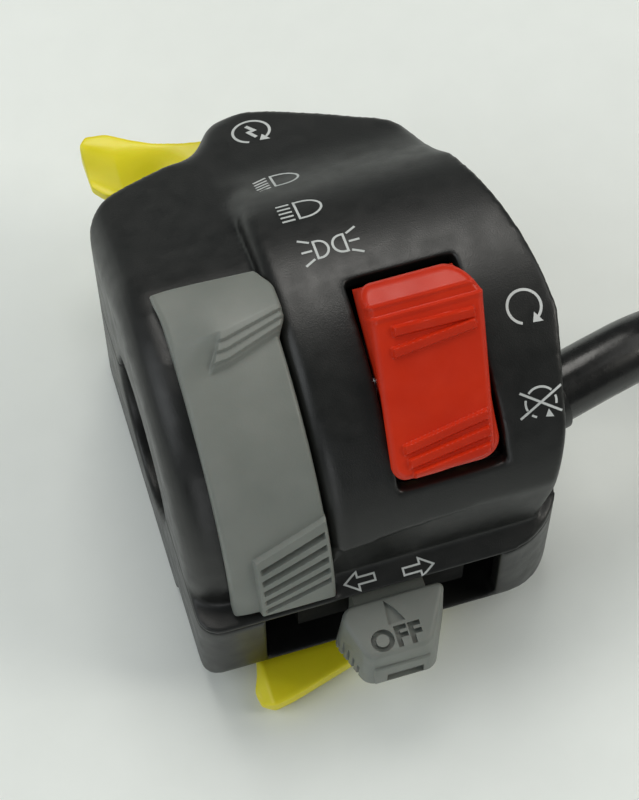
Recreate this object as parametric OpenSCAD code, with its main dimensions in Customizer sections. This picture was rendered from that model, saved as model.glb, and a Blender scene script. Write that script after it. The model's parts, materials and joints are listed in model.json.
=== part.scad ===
// Left-hand handlebar switch cluster: light slider, stop rocker, turn-signal slide,
// starter lever and horn lever in a two-part housing that clamps round the bar.
// X runs along the bar, -Y is the rider's side, +Z is up, and the origin is on the bar axis.

/* [Handlebar] */
// Diameter of the bar that the housing clamps
bar_d = 22.2; // [21.5:0.1:23.5]

/* [Housing] */
// Radius of the main panel about the bar axis
panel_r = 28.5; // [28:0.1:30]
// Depth of the slider's valley below the panel
valley_depth = 2.7; // [2.4:0.1:3]
// Distance from the origin to the flat left face
left_len = 24.4; // [24.4:0.1:27]
// Distance from the origin to the furthest point of the curved right end
right_len = 26.9; // [26.4:0.1:29]
// Radius of the right end's curve behind its furthest point
end_back_r = 70; // [64:1:90]
// Radius of the right end's curve in front of its furthest point
end_front_r = 40; // [38:1:60]
// Height of the bar axis above the surface it stands on
axis_h = 19.5; // [19.5:0.5:23]
// Distance from the bar axis to the front wall
front_reach = 29.2; // [29:0.1:31]
// Distance from the bar axis to the back wall
back_reach = 29; // [28.5:0.1:30]
// Distance from the bar axis to the back of the starter's hump
hump_reach = 38.5; // [38:0.1:40]
// Wall thickness
wall = 2.4; // [2:0.1:2.6]

/* [Light slider] */
// Width of the slider along the bar
slider_w = 13; // [12.2:0.1:13.4]
// Thickness of the slider
slider_t = 2.2; // [1.8:0.1:2.6]
// Angle from one light position to the next
light_step = 9; // [7:0.5:9]

/* [Stop rocker] */
// Width of the rocker along the bar
rocker_w = 13.2; // [11:0.1:13.6]
// Length of the rocker across the panel
rocker_len = 23.6; // [21:0.1:24]
// Tilt of the rocker to each side of its middle
rocker_tilt = 8; // [6:0.5:8]

/* [Turn signal] */
// Length of the slot along the bar
slot_w = 31; // [30:0.5:31.5]
// Height of the slot
slot_h = 13.2; // [12.8:0.1:13.4]
// Travel of the slide to each side
signal_travel = 4.5; // [3:0.1:4.6]
// Width of the knob's face at the slot
knob_w = 12.8; // [11:0.1:14]

/* [Levers] */
// Height of the starter lever
start_h = 7; // [5:0.1:7.2]
// Height of the horn lever
horn_h = 2.6; // [2.2:0.1:2.7]

/* [Fasteners] */
// Thread diameter of the clamp screws
screw_d = 3; // [2.6:0.1:3.2]
// Diameter of the pivot pins
pin_d = 2.6; // [2:0.1:3]

/* [Loom] */
// Outside diameter of the loom's sleeve
loom_d = 8.4; // [7:0.1:9]
// Radius of the coil's outer turn
coil_r = 43; // [41:0.5:45]

/* [Hidden] */
$fn = 96;

// Colours
black = "#1c1d1f";
grey = "#7c7f7a";
red = "#c03020";
yellow = "#e0d420";
brass = "#c8a050";
steel = "#b8bcc0";
board = "#3a3430";
natural = "#d8d4c8";

// Clearances
gap = 0.3;
fit = 0.05;
seat = 0.1;

// Housing
bar_r = bar_d / 2;
tube_r = bar_r + wall;
valley_r = panel_r - valley_depth;
base_z = -axis_h;
left_x = -left_len;
left_edge_r = 4.5;
step_r = 2;
slider_x0 = left_x + 4.6;
slider_x1 = slider_x0 + slider_w;
step_x = slider_x1 + gap;
panel_x = step_x - 0.1 + step_r;
end_lean = 29;
lower_end_r = 120;
lower_len = right_len - 0.3;
lobe_a = 66;
hump_a = 65;
crease_a = 40;
hump_corner = 5;
hump_x = panel_x - 1;
step_y = panel_r - 2.3;
step_z = 9.2;
step_rise = 5.7;
lip_h = 0.8;
ledge_h = 1.6;
floor_z = base_z + 4;
foot_y = -13.5;
reach = 100;

// Height of the left lobe's back slope, and of the hump's, at a distance behind the bar
function lobe_z(y) = (valley_r - y * cos(lobe_a)) / sin(lobe_a);
hump_p = panel_r * cos(crease_a - hump_a);
function hump_z(y) = (hump_p - y * cos(hump_a)) / sin(hump_a);

// Points on an arc, and on a smooth curve through a few points
function arc(c, r, a0, a1, n = 6) = [
    for (i = [0:n])
        let (a = a0 + (a1 - a0) * i / n)
        c + r * [cos(a), sin(a)]
];
function spline_at(p0, p1, p2, p3, t) =
    0.5 * (2 * p1 + (p2 - p0) * t + (2 * p0 - 5 * p1 + 4 * p2 - p3) * pow(t, 2)
           + (3 * p1 - p0 - 3 * p2 + p3) * pow(t, 3));
function smooth(p, n) = [
    for (i = [0:len(p) - 2], j = [0:n - 1])
        spline_at(p[max(i - 1, 0)], p[i], p[i + 1], p[min(i + 2, len(p) - 1)], j / n),
    p[len(p) - 1]
];

// A tube swept along a path that never runs straight up
function unit(v) = v / norm(v);
function heading(p, i) = unit(p[min(i + 1, len(p) - 1)] - p[max(i - 1, 0)]);
function ring_at(p, i, r, sides) =
    let (t = heading(p, i), a = unit(cross(t, [0, 0, 1])), b = cross(a, t))
    [for (k = [0:sides - 1]) p[i] + r * (cos(360 * k / sides) * a + sin(360 * k / sides) * b)];
module tube(p, r, sides) {
    n = len(p);
    points = [for (i = [0:n - 1]) each ring_at(p, i, r, sides)];
    walls = [
        for (i = [0:n - 2], k = [0:sides - 1])
            let (a = i * sides + k, b = i * sides + (k + 1) % sides)
            each [[a, a + sides, b], [b, a + sides, b + sides]]
    ];
    ends = [
        for (k = [1:sides - 2])
            each [[0, k, k + 1], [(n - 1) * sides, (n - 1) * sides + k + 1, (n - 1) * sides + k]]
    ];
    polyhedron(points, concat(walls, ends));
}
// Least distance between parts of a path that are at least a half turn apart, less the tube's diameter
function self_gap(p, apart, r) =
    min([for (i = [0:len(p) - 1 - apart], j = [i + apart:len(p) - 1]) norm(p[i] - p[j])]) - 2 * r;

// Helical springs: eight points to a curl
function helix(r, h, curls) = [
    for (i = [0:curls * 8]) [r * cos(45 * i), r * sin(45 * i), h * i / (curls * 8)]
];
spring_r = 1.25;
spring_wire = 0.25;
spring_hole_r = spring_r + 0.4;
detent_curls = 1.5;
detent_h = 1.5;
plunger_curls = 1;
plunger_spring_h = 1;
start_curls = 2;
start_spring_h = 2.2;
horn_curls = 4;
horn_spring_h = 4.5;

module along_x(x0, x1) {
    translate([x0, 0, 0]) rotate([90, 0, 90]) linear_extrude(x1 - x0) children();
}
// A block between two radii and two angles about the bar; the angle starts at +Y and turns to +Z
module sector(x0, x1, r0, r1, a0, a1) {
    rotate([0, 90, 0]) rotate([0, 0, a0 + 90]) rotate_extrude(angle = a1 - a0)
        translate([r0, x0]) square([r1 - r0, x1 - x0]);
}
// Turns a piece drawn along +Z so that it points away from the bar at an angle
module radial(a) {
    rotate([a - 90, 0, 0]) children();
}
// The right end curves two ways from its furthest point, across a leaning direction
module right_end(inset) {
    rotate([end_lean, 0, 0]) translate([0, 0, -reach]) linear_extrude(2 * reach)
        polygon(concat(
            arc([right_len - end_front_r, 0], end_front_r - inset, -80, 0, 24),
            arc([right_len - end_back_r, 0], end_back_r - inset, 0, 40, 16),
            [[-reach, end_back_r], [-reach, -end_front_r]]
        ));
}

// Outline of both halves seen from above
corner_r = 3;
front_corner_r = 9.8;
back_side = [
    [left_x, 20], [left_x + 0.5, back_reach - 5.4], [left_x + 2.9, back_reach - 2.6],
    [left_x + 6.7, back_reach - 0.8], [-12.9, back_reach + 0.8], [-9.2, back_reach + 1.9],
    [hump_x - 1.5, hump_reach - 5.7], [hump_x, hump_reach - 3], [-4.2, hump_reach - 1.7],
    [-2.4, hump_reach - 1.1], [0, hump_reach - 1.3], [3.8, hump_reach - 2.5], [7.6, hump_reach - 4.5],
    [11.2, hump_reach - 6.5], [14.1, hump_reach - 8.3], [right_len - 10.5, hump_reach - 9.6],
    [right_len - 8.3, hump_reach - 11.5], [right_len - 6.7, hump_reach - 14.2], [right_len - 3.9, 12]
];
outline = concat(
    arc([right_len - 1.9 - front_corner_r, -front_reach + front_corner_r], front_corner_r, 0, -90, 12),
    arc([left_x + corner_r, -front_reach + corner_r], corner_r, 270, 180),
    smooth(back_side, 2),
    [[right_len, 8], [right_len, -10]]
);

// Clamp screws: two on the left, one at the back right
screw_r = screw_d / 2;
head_r = screw_d * 0.95;
head_h = screw_d * 0.7;
boss_r = screw_r + 1.6;
boss_h = 8.5;
screw_at = [[left_x + 4, -18.2], [left_x + 4.6, 20.5], [right_len - 10.1, 20.5]];
head_seat = floor_z + 4;

// Light slider and its switch
slider_r = valley_r + gap;
slider_low = 177.5;
slider_high = 81;
bump_r = slider_r + slider_t + 2.2;
pad_t = 0.9;
pad_low = slider_low - 25.5;
pad_x = slider_x0 + 3.4;
stem_x = slider_x0 + 5.6;
stem_w = 2;
stem_a = 130;
stem_half = 6;
carriage_w = 9;
carriage_r0 = tube_r + 4.4;
carriage_r1 = min(carriage_r0 + 2.7, valley_r - wall - gap);
stem_mid = stem_x + stem_w / 2;
light_base_r = tube_r + seat + 2.9;
ball_r = 1.2;
ball_notch_r = ball_r + 0.6;
light_ball_at = carriage_r0 - ball_r - 0.3;
light_contact_at = 3;
light_contact_half = 0.8;

// Stop rocker and its switch, drawn across the panel at its middle angle
stop_a = 118.75;
rocker_x0 = panel_x + 7.7;
rocker_x1 = rocker_x0 + rocker_w;
rocker_mid = (rocker_x0 + rocker_x1) / 2;
window_gap = 0.4;
window_half = asin((rocker_len / 2 + 1.5) / panel_r);
pivot_r = panel_r - 4.5;
pin_r = pin_d / 2;
ear_w = 1.8;
plunger_r = 1.6;
stop_base_r = tube_r + seat + 2.4;

// Turn signal
slot_z = -slot_h;
slide_z = slot_z + 2.6;
slot_x0 = -16;
cell_x = 0.6 - slot_x0;
cell_y = -tube_r - 1;
shield_half = cell_x - signal_travel - 0.9;
carriage_y = -front_reach + wall + gap;
knob_x = 0.3;
knob_top = -1.6;
knob_out = front_reach + 8.1;
knob_edge = 0.9;
knob_fall = 0.8;
knob_brow_in = 0.4;
neck_half = 5;
knob_screw_r = 1;
knob_screw_z = slide_z + 2.8;
detent_y = carriage_y + 6.2;
detent_z = slide_z + 6.2;

// Levers
hump_depth = hump_reach - back_reach;
start_pivot = [3.5, back_reach + hump_depth / 8];
start_z0 = 1.5;
horn_pivot = [6, -21];
horn_z1 = floor_z - 0.5;

// Loom: gland, free stretch and coil
gland_at = [right_len - 2.5, -15, 12];
gland_turn = 14;
loom_r = loom_d / 2;
gland_r = loom_r + 1.2;
tie_t = 0.9;
loom_z = base_z + tie_t + gap + loom_r;
gland_in = 7;
flange_r = min(gland_r, panel_r - wall - gap - norm([gland_at[1], gland_at[2]]));
lead_from = 1.4;
loom_way = [cos(gland_turn), sin(gland_turn), 0];
lead_start = gland_at + lead_from * loom_way;
land_turn = -28;
land_way = [cos(land_turn), sin(land_turn), 0];
lead_end = [91.4, -21.2, loom_z];
lead = concat(
    [lead_start, lead_start + loom_d * loom_way],
    [[38.4, -11.5, 11.6], [43, -10.5, 10.2], [47.6, -9.8, 8.1], [52.3, -9.4, 5.4], [56.9, -9.3, 2.3]],
    [[61.6, -9.7, -1.1], [66.2, -10.4, -4.6], [70.7, -11.6, -7.7], [75.1, -13.2, -10.4]],
    [[79.4, -15, -12.5], [83.6, -17.1, -13.8]],
    [lead_end - loom_r * land_way, lead_end]
);
coil_pitch = loom_d + 0.9;
coil_turns = 1.5;
coil_start = land_turn - 90;
coil_at = lead_end + loom_r * land_way - coil_r * [cos(coil_start), sin(coil_start), 0];
rings_per_turn = 24;
coil_rings = coil_turns * rings_per_turn;
tail_r = 18;
tail_turn = 115;
tail_rings = 8;
function coil_point(i) =
    let (t = i / rings_per_turn, a = coil_start + 360 * t, r = coil_r - coil_pitch * t)
    coil_at + r * [cos(a), sin(a), 0];
coil_end = coil_point(coil_rings);
coil_end_a = coil_start + 360 * coil_turns;
tail_at = coil_end - tail_r * [cos(coil_end_a), sin(coil_end_a), 0];
tail_end_a = coil_end_a + tail_turn;
function tail_point(i) =
    let (a = coil_end_a + tail_turn * i / tail_rings)
    tail_at + tail_r * [cos(a), sin(a), 0];
tail_way = [-sin(tail_end_a), cos(tail_end_a), 0];
coil_path = concat(
    [lead_end],
    [for (i = [0:coil_rings]) coil_point(i)],
    [for (i = [1:tail_rings]) tail_point(i)],
    [tail_point(tail_rings) + loom_d * tail_way]
);
echo(detent_spring_gap = self_gap(helix(spring_r, detent_h, detent_curls), 5, spring_wire));
echo(plunger_spring_gap = self_gap(helix(spring_r, plunger_spring_h, plunger_curls), 5, spring_wire));
echo(start_spring_gap = self_gap(helix(spring_r, start_spring_h, start_curls), 5, spring_wire));
echo(horn_spring_gap = self_gap(helix(spring_r, horn_spring_h, horn_curls), 5, spring_wire));
echo(coil_gap = self_gap(coil_path, 12, loom_r));

// Housing

module drum() {
    side = concat(
        [[left_x, 0]],
        arc([left_x + left_edge_r, valley_r - left_edge_r], left_edge_r, 180, 90),
        [[step_x, valley_r]],
        arc([panel_x, panel_r - step_r], step_r, 180, 90),
        [[right_len + 2, panel_r], [right_len + 2, 0]]
    );
    rotate([0, 90, 0]) rotate_extrude() polygon([for (p = side) [p[1], p[0]]]);
}

// Slope behind the drum, with the drum's rounded left edge
module lobe() {
    side = concat(
        [[left_x, -reach]],
        arc([left_x + left_edge_r, valley_r - left_edge_r], left_edge_r, 180, 90),
        [[right_len, valley_r], [right_len, -reach]]
    );
    rotate([lobe_a - 90, 0, 0]) translate([0, hump_reach, 0]) rotate([90, 0, 0])
        linear_extrude(hump_reach) polygon(side);
}

module hump_profile() {
    c = [hump_reach - hump_corner, hump_z(hump_reach - hump_corner) - hump_corner / sin(hump_a)];
    polygon(concat(
        [[0, 0], panel_r * [cos(crease_a), sin(crease_a)]],
        arc(c, hump_corner, hump_a, 0),
        [[hump_reach, 0]]
    ));
}

// The ledge that carries the arrows, in front of the main panel
module ledge(y1) {
    along_x(step_x, right_len)
        polygon([[y1, 0], [-front_reach, 0], [-front_reach, lip_h / 2], [-step_y, ledge_h], [y1, ledge_h]]);
}

module upper_outer() {
    intersection() {
        union() {
            intersection() {
                upper_body();
                right_end(0);
            }
            ledge(-step_y + 3);
        }
        linear_extrude(reach) polygon(outline);
    }
}

module upper_body() {
    difference() {
        union() {
            drum();
            lobe();
            along_x(hump_x, right_len) hump_profile();
            translate([left_x, -front_reach, 0]) cube([left_len + right_len, front_reach, lip_h]);
            ledge(0);
        }
        // The step between the main panel and the ledge rises a little to the right
        intersection() {
            translate([step_x, 0, step_z]) rotate([0, -step_rise, 0]) translate([-reach, -reach, -reach])
                cube([2 * reach, reach, reach]);
            along_x(step_x, reach)
                polygon([
                    [-reach, lip_h / 2], [-front_reach, lip_h / 2], [-step_y, ledge_h], [-step_y, reach],
                    [-reach, reach]
                ]);
        }
    }
}

module upper_cavity() {
    roof = 1.3 * wall;
    back_in = back_reach - wall - 0.6;
    hump_in = hump_reach - wall;
    hump_mouth = back_reach - wall - 2;
    intersection() {
        union() {
            sector(left_x + wall, step_x - 0.2, tube_r, valley_r - wall, 60, 180);
            difference() {
                sector(panel_x + 0.4, right_len, tube_r, panel_r - wall, 50, 180);
                translate([0, -reach - step_y + wall, -1]) cube([reach, reach, step_z + 4]);
            }
            along_x(left_x + 8, right_len)
                polygon([
                    [tube_r, -1], [tube_r, lobe_z(tube_r) - roof],
                    [back_reach - 6, lobe_z(back_reach - 6) - roof], [back_in, lobe_z(back_reach) - roof],
                    [back_in, -1]
                ]);
            translate([0, 0, -1]) linear_extrude(start_z0 + start_h + gap + 1)
                polygon([
                    [-3, hump_mouth], [-3, hump_in - 0.9], [1.5, hump_in - 0.5], [11, hump_in - 5.7],
                    [15.5, hump_in - 8.9], [15.5, hump_mouth]
                ]);
        }
        right_end(wall);
    }
}

// Opening in the hump's left wall that the starter lever comes out of
module start_window() {
    translate([hump_x - 6, back_reach + 0.4, start_z0 - gap])
        cube([5 - hump_x, hump_reach - back_reach - 2.2, start_h + 2 * gap]);
}

module bosses() {
    for (p = screw_at) translate([p[0], p[1], 0]) cylinder(r = boss_r, h = boss_h);
}

module rocker_ears() {
    for (x = [rocker_x0 - window_gap - ear_w, rocker_x1 + window_gap])
        sector(x, x + ear_w, pivot_r - pin_r - 1.8, panel_r - wall / 2, stop_a - 6, stop_a + 6);
}

// The rocker's pin, or its hole, which goes a little further into the ears
module rocker_axle(r, deeper) {
    out = window_gap + ear_w + deeper;
    radial(stop_a) translate([rocker_x0 - out, 0, pivot_r]) rotate([0, 90, 0])
        cylinder(r = r, h = rocker_w + 2 * out);
}

module upper_shell() {
    color(black) difference() {
        union() {
            difference() {
                upper_outer();
                upper_cavity();
            }
            intersection() {
                union() {
                    bosses();
                    rocker_ears();
                    translate([start_pivot[0], start_pivot[1], start_z0 + start_h + gap])
                        cylinder(r = pin_r + 1.4, h = 3);
                }
                upper_outer();
            }
        }
        rotate([0, 90, 0]) translate([0, 0, -reach]) cylinder(r = bar_r, h = 2 * reach);
        sector(rocker_x0 - window_gap, rocker_x1 + window_gap, pivot_r - 6, panel_r + 5,
               stop_a - window_half, stop_a + window_half);
        sector(stem_x - gap, stem_x + stem_w + gap, carriage_r1 + 0.5, panel_r,
               stem_a - stem_half - 2 * light_step - 1, stem_a + stem_half + 1);
        start_window();
        gland_hole();
        for (p = screw_at) translate([p[0], p[1], -1]) cylinder(r = screw_r + fit, h = boss_h - 1);
        rocker_axle(pin_r + fit, 0.3);
        translate([start_pivot[0], start_pivot[1], -1]) cylinder(r = pin_r + fit, h = start_z0 + start_h + 3);
    }
}

// Right end of the lower half, which stands upright
module lower_end(inset) {
    translate([lower_len - lower_end_r, 0, -reach])
        cylinder(r = lower_end_r - inset, h = 2 * reach, $fn = 180);
}

module gland_place() {
    translate(gland_at) rotate([0, 0, gland_turn]) rotate([0, 90, 0]) children();
}
module gland_hole() {
    gland_place() translate([0, 0, -9]) cylinder(r = gland_r - 0.6 + fit, h = 20);
}

// Underside: a flat foot below the bar, with the floor raised in front of it for the horn lever
module lower_profile() {
    polygon(concat(
        [[-front_reach, 0]],
        arc([-front_reach + 3, floor_z + 3], 3, 180, 270),
        [[foot_y - 1.5, floor_z], [foot_y, base_z], [back_reach - 4, base_z], [back_reach, base_z + 4]],
        [[back_reach + 0.4, -8], [hump_reach, -3.5], [hump_reach, 0]]
    ));
}

module lower_shell() {
    color(black) difference() {
        intersection() {
            along_x(left_x, right_len) lower_profile();
            lower_end(0);
            translate([0, 0, base_z]) linear_extrude(axis_h) polygon(outline);
        }
        rotate([0, 90, 0]) translate([0, 0, -reach]) cylinder(r = bar_r, h = 2 * reach);
        // Cell of the turn-signal switch, open to the slot
        intersection() {
            translate([-cell_x, -front_reach + wall, floor_z + wall])
                cube([2 * cell_x, front_reach - wall + cell_y, -floor_z]);
            lower_end(wall);
        }
        translate([slot_x0, -front_reach - 1, slot_z]) cube([slot_w, wall + 2, slot_h + 1]);
        // Pockets behind the bar
        translate([left_x + 9.5, tube_r + 1, base_z + wall])
            cube([left_len + right_len - 25, back_reach - tube_r - 1 - wall, axis_h]);
        for (p = screw_at) {
            foot = p[1] < foot_y ? floor_z : base_z;
            translate([p[0], p[1], foot - 1]) cylinder(r = screw_r + fit, h = axis_h + 2);
            translate([p[0], p[1], foot - 1]) cylinder(r = head_r + 0.2, h = head_seat - foot + 1);
        }
        translate([horn_pivot[0], horn_pivot[1], floor_z - 1]) cylinder(r = pin_r + fit, h = wall + 2);
        translate([start_pivot[0], start_pivot[1], -1.6]) cylinder(r = pin_r + fit, h = 3);
    }
}

module clamp_screws() {
    color(steel) for (p = screw_at) translate([p[0], p[1], head_seat]) difference() {
        union() {
            cylinder(r = screw_r, h = boss_h - 2.5 - head_seat);
            translate([0, 0, -head_h]) cylinder(r = head_r, h = head_h);
        }
        for (a = [0, 90]) rotate([0, 0, a])
            translate([-head_r * 0.6, -0.4, -head_h - 1]) cube([head_r * 1.2, 0.8, 2.2]);
    }
}

// Light slider

module light_slider() {
    cap_r = slider_r + slider_t;
    color(grey) union() {
        difference() {
            union() {
                sector(slider_x0, slider_x1, slider_r, cap_r, slider_high, slider_low);
                sector(pad_x, slider_x1, slider_r, cap_r + pad_t, pad_low, slider_low);
                sector(pad_x, slider_x1, slider_r, bump_r, slider_high + 5, slider_high + 15);
                // The bump reaches over the panel's edge
                sector(slider_x1 - 1, slider_x1 + 1.1, panel_r + gap, bump_r - 0.5,
                       slider_high + 8, slider_high + 15);
            }
            // The bump's upper end falls away to the slider's edge
            radial(slider_high + 7) translate([slider_x0 - 1, 0, cap_r]) rotate([24, 0, 0])
                cube([slider_w + 4, 12, 8]);
            // Slanted grip grooves on the pad, and fine ones on the bump
            for (i = [0:3]) radial(pad_low + 5.5 + 5.6 * i) translate([pad_x + 4.7, 0, cap_r + 0.1])
                rotate([0, 0, 17]) translate([-6, -0.5, 0]) cube([12, 1, 3]);
            for (i = [0:2]) radial(slider_high + 10 + 2 * i)
                translate([pad_x + 1, -0.3, bump_r - 0.4 - 0.5 * i]) cube([slider_w, 0.6, 4]);
        }
        sector(stem_x, stem_x + stem_w, carriage_r1, slider_r + 0.5, stem_a - stem_half, stem_a + stem_half);
    }
}

module light_carriage() {
    color(board) difference() {
        sector(stem_mid - carriage_w / 2, stem_mid + carriage_w / 2, carriage_r0, carriage_r1,
               stem_a - 2 * stem_half, stem_a + 2 * stem_half);
        radial(stem_a) translate([stem_mid, 0, carriage_r0 - 1]) cylinder(r = spring_hole_r, h = 2.4);
    }
}

module light_ball() {
    color(steel) radial(stem_a) translate([stem_mid, 0, light_ball_at]) sphere(r = ball_r);
}

module light_spring() {
    color(steel) radial(stem_a) translate([stem_mid, 0, carriage_r0 - 0.4])
        tube(helix(spring_r, detent_h, detent_curls), spring_wire, 6);
}

module light_wiper() {
    color(brass) for (s = [-1, 1]) {
        x = stem_mid + s * light_contact_at;
        sector(x - light_contact_half, x + light_contact_half, carriage_r0 - 0.7, carriage_r0,
               stem_a - 8, stem_a + 8);
    }
}

module light_base() {
    color(board) difference() {
        sector(stem_x - 4.5, stem_x + stem_w + 4.5, tube_r + seat, light_base_r, 98, 145);
        sector(stem_x - 0.6, stem_x + stem_w + 0.6, light_base_r - 1.2, light_base_r + 1, 97, 146);
        for (i = [0:2]) radial(stem_a - i * light_step) translate([stem_mid, 0, light_ball_at])
            sphere(r = ball_notch_r);
    }
}

module light_contacts() {
    color(brass) for (s = [-1, 1], i = [0:2]) {
        x = stem_mid + s * light_contact_at;
        sector(x - light_contact_half, x + light_contact_half, light_base_r, light_base_r + 0.5,
               108 + 10 * i, 114 + 10 * i);
    }
}

// Stop rocker

module rocker_profile() {
    h = rocker_len / 2;
    polygon([[-h, -0.2], [-h + 0.2, 2], [-h + 1, 4.9], [h - 1, 4.9], [h - 0.2, 2], [h, -0.2],
             [5, -2.6], [2.6, -4.2], [-2.6, -4.2], [-5, -2.6]]);
}
// The finger cap stands on the rocker and leans to the right at its upper end
module rocker_cap() {
    h = rocker_len / 2;
    intersection() {
        along_x(rocker_x0 - 2, rocker_x1 + 2)
            polygon([
                [-h + 0.6, 4], [-h + 0.6, 5.6], [-h + 2, 7], [h - 3, 7.2], [h - 0.2, 5.6], [h, 5]
            ]);
        translate([0, 0, 4.9]) linear_extrude(5)
            polygon([
                [rocker_x0 - 0.5, -h], [rocker_x1 - 0.6, -h], [rocker_x1 + 1.2, h], [rocker_x0 + 0.8, h]
            ]);
    }
}
module rocker_place() {
    radial(stop_a) translate([0, 0, pivot_r]) rotate([rocker_tilt, 0, 0]) children();
}

module stop_rocker() {
    color(red) rocker_place() difference() {
        union() {
            along_x(rocker_x0, rocker_x1) rocker_profile();
            rocker_cap();
        }
        rotate([0, 90, 0]) cylinder(r = pin_r + fit, h = reach, center = true);
        translate([rocker_mid, 0, -5]) cylinder(r = plunger_r + fit, h = 5 - pin_r - 0.7);
        // Grip ribs at both ends
        for (s = [-1, 1], i = [0:2])
            translate([rocker_x0 + 2.4, s * (rocker_len / 2 - 4.4 - 1.5 * i) - 0.25, 6.6])
                cube([rocker_w - 3.4, 0.5, 3]);
    }
}

module rocker_pin() {
    color(steel) rocker_axle(pin_r, 0);
}

module stop_plunger() {
    color(steel) rocker_place() translate([rocker_mid, 0, 0]) {
        translate([0, 0, -5.2]) sphere(r = plunger_r);
        translate([0, 0, -5.2]) cylinder(r = plunger_r, h = 1.4);
    }
}

module stop_spring() {
    color(steel) rocker_place() translate([rocker_mid, 0, -3.5])
        tube(helix(spring_r, plunger_spring_h, plunger_curls), spring_wire, 6);
}

module stop_base() {
    color(board) difference() {
        sector(rocker_mid - 4.5, rocker_mid + 4.5, tube_r + seat, stop_base_r, stop_a - 13, stop_a + 13);
        sector(rocker_mid - 2, rocker_mid + 2, stop_base_r - 0.8, stop_base_r + 1, stop_a - 8, stop_a + 8);
    }
}

module stop_contacts() {
    color(brass) for (s = [-1, 1]) sector(rocker_mid + s * 3.2 - 0.7, rocker_mid + s * 3.2 + 0.7,
        stop_base_r, stop_base_r + 0.5, stop_a - 9, stop_a + 9);
}

// Turn signal

// The knob's head stands in front of the wall, on a neck that passes through the slot
module signal_knob() {
    y0 = -front_reach - gap - knob_edge;
    y1 = -knob_out + knob_edge;
    brow_y = y1 + knob_brow_in;
    face = [[-0.5, y0, 0], [0.5, y0, 0], [-0.33, brow_y, knob_fall], [0.16, brow_y, knob_fall]];
    foot = [[-0.56, y0], [0.5, y0], [-0.36, y1], [0.23, y1]];
    color(grey) union() {
        hull() {
            for (p = face) translate([knob_x + p[0] * knob_w, p[1], knob_top - p[2] - knob_edge])
                sphere(r = knob_edge, $fn = 16);
            for (p = foot) translate([knob_x + p[0] * knob_w, p[1], slide_z + knob_edge])
                sphere(r = knob_edge, $fn = 16);
        }
        translate([knob_x - neck_half, y0, slide_z + 0.6]) cube([2 * neck_half, carriage_y - y0, 7]);
    }
}

module signal_carriage() {
    color(black) difference() {
        union() {
            translate([-shield_half, carriage_y, slide_z]) cube([2 * shield_half, 1.6, -slide_z - 0.6]);
            translate([-6, carriage_y + 1.6, slide_z]) cube([12, 4.6, 8.5]);
        }
        translate([knob_x, carriage_y - 1, knob_screw_z]) rotate([-90, 0, 0])
            cylinder(r = knob_screw_r + fit, h = 10);
        translate([knob_x, carriage_y + 5.2, knob_screw_z]) rotate([-90, 0, 0]) cylinder(r = 2, h = 2);
        translate([knob_x, carriage_y + 3, detent_z]) rotate([-90, 0, 0]) cylinder(r = spring_hole_r, h = 5);
    }
}

module signal_screw() {
    color(steel) translate([knob_x, carriage_y, knob_screw_z]) rotate([-90, 0, 0]) {
        cylinder(r = knob_screw_r, h = 5.2);
        translate([0, 0, 5.2]) cylinder(r = 1.8, h = 0.9);
    }
}

module signal_ball() {
    color(steel) translate([knob_x, detent_y, detent_z]) sphere(r = ball_r);
}

module signal_spring() {
    color(steel) translate([knob_x, carriage_y + 3.3, detent_z]) rotate([-90, 0, 0])
        tube(helix(spring_r, detent_h, detent_curls), spring_wire, 6);
}

module signal_base() {
    y0 = detent_y + 0.5;
    color(board) difference() {
        translate([-cell_x + seat, y0, floor_z + wall + seat])
            cube([2 * cell_x - 2 * seat - 2, cell_y - seat - y0, 10]);
        translate([-signal_travel - 3, y0 - 1, detent_z - 1.5]) cube([2 * signal_travel + 7, 2.2, 3]);
        for (i = [-1:1]) translate([knob_x + i * signal_travel, detent_y, detent_z]) sphere(r = ball_notch_r);
    }
}

module signal_contacts() {
    color(brass) for (i = [-1:1])
        translate([knob_x + i * signal_travel - 1.2, detent_y + 0.2, slide_z + 0.8]) cube([2.4, 0.3, 2.8]);
}

// Levers

// Outline of the starter lever: x, and the distance behind the back wall as a share of the hump's depth
start_shape = [
    [-21.3, 0.65], [-21.5, 1.2], [-20.4, 1.32], [-17.6, 1.28], [-14.8, 1.1], [-12, 0.95], [-8.5, 0.84],
    [-4, 0.75], [-1.5, 0.63], [2, 0.53], [7, 0.27], [8.4, 0.13], [8.2, -0.06], [4, -0.19], [-1, 0.04],
    [-2.4, 0.06], [-5, 0.24], [-12, 0.3], [-17.4, 0.38], [-19.8, 0.46]
];
module start_lever() {
    color(yellow) translate([0, 0, start_z0]) linear_extrude(start_h) difference() {
        polygon([for (p = start_shape) [p[0], back_reach + p[1] * hump_depth]]);
        translate(start_pivot) circle(r = pin_r + fit);
    }
}
module start_pin() {
    color(steel) translate([start_pivot[0], start_pivot[1], -1.4])
        cylinder(r = pin_r, h = start_z0 + start_h + 3);
}
module start_spring() {
    color(steel) translate([-1.2, back_reach - 2.8, start_z0 + start_h / 2]) rotate([-90, 0, 0])
        tube(helix(spring_r, start_spring_h, start_curls), spring_wire, 6);
}
module start_contact() {
    color(brass) translate([-8, back_reach - wall - seat - 1.2, 2]) cube([8.6, 0.6, 5.5]);
}

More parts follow.
